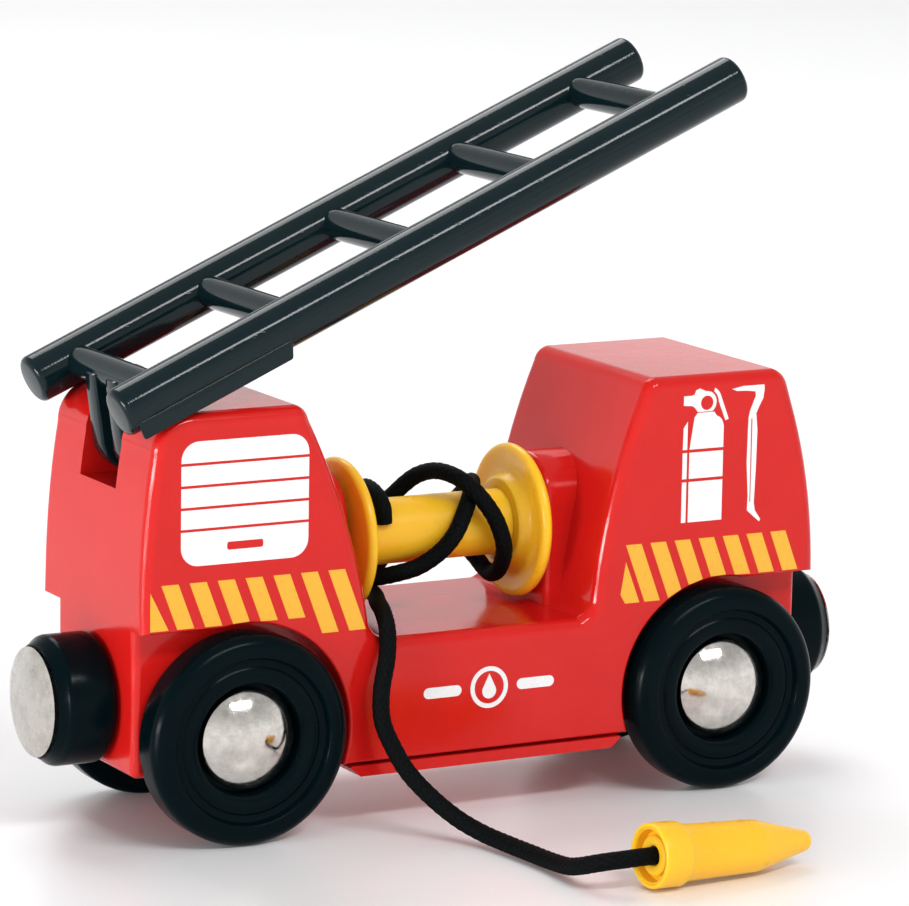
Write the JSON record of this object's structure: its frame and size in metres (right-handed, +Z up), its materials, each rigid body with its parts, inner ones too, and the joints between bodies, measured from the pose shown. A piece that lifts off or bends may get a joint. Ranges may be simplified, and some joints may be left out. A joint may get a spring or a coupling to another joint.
{
  "type": "toy fire engine",
  "caption": "Toy fire engine for a wooden railway, with a hinged ladder, a hose wound on a turning reel, a hose nozzle, rolling wheels and magnetic couplings.",
  "frame": {"origin": "on the floor under the middle of the vehicle, midway between the two axles", "axes": "+X towards the front end, +Y towards the left side, +Z up; the free hose lies on the -Y side"},
  "size_m": [0.0978, 0.0654, 0.0808],
  "materials": {
    "red_plastic": "gloss",
    "black_plastic": "gloss",
    "ladder_plastic": "gloss",
    "yellow_plastic": "gloss",
    "chrome": "polished",
    "steel": "satin",
    "magnet_grey": "satin",
    "hose_braid": "braided"
  },
  "bodies": {
    "chassis": {"body_shell": "red_plastic", "base_plate": "red_plastic", "base_screw_1": "steel", "base_screw_2": "steel", "base_screw_3": "steel", "base_screw_4": "steel", "rear_coupling_sleeve": "black_plastic", "rear_coupling_magnet": "magnet_grey", "rear_coupling_face": "chrome", "rear_coupling_pin": "steel", "front_coupling_sleeve": "black_plastic", "front_coupling_magnet": "magnet_grey", "front_coupling_face": "chrome", "front_coupling_pin": "steel", "ladder_pivot_pin": "steel", "hose": "hose_braid", "hose_nozzle": "yellow_plastic"},
    "ladder": {"ladder": "ladder_plastic"},
    "reel": {"reel_spool": "yellow_plastic", "reel_flange": "yellow_plastic", "reel_axle": "steel"},
    "rear_wheels": {"rear_axle": "steel", "rear_wheel_left": "black_plastic", "rear_hub_cap_left": "chrome", "rear_wheel_right": "black_plastic", "rear_hub_cap_right": "chrome"},
    "front_wheels": {"front_axle": "steel", "front_wheel_left": "black_plastic", "front_hub_cap_left": "chrome", "front_wheel_right": "black_plastic", "front_hub_cap_right": "chrome"}
  },
  "joints": [
    {"name": "ladder_tilt", "type": "hinge", "parent": "chassis", "child": "ladder", "pos_m": [-0.0354, 0, 0.042], "axis": [0, -1, 0], "range_deg": [-23.6, 56.4]},
    {"name": "reel_spin", "type": "hinge", "parent": "chassis", "child": "reel", "pos_m": [0, 0, 0.0294], "axis": [1, 0, 0], "continuous": true},
    {"name": "rear_wheels_spin", "type": "hinge", "parent": "chassis", "child": "rear_wheels", "pos_m": [-0.0291, 0, 0.0114], "axis": [0, 1, 0], "continuous": true},
    {"name": "front_wheels_spin", "type": "hinge", "parent": "chassis", "child": "front_wheels", "pos_m": [0.0291, 0, 0.0114], "axis": [0, 1, 0], "continuous": true}
  ]
}
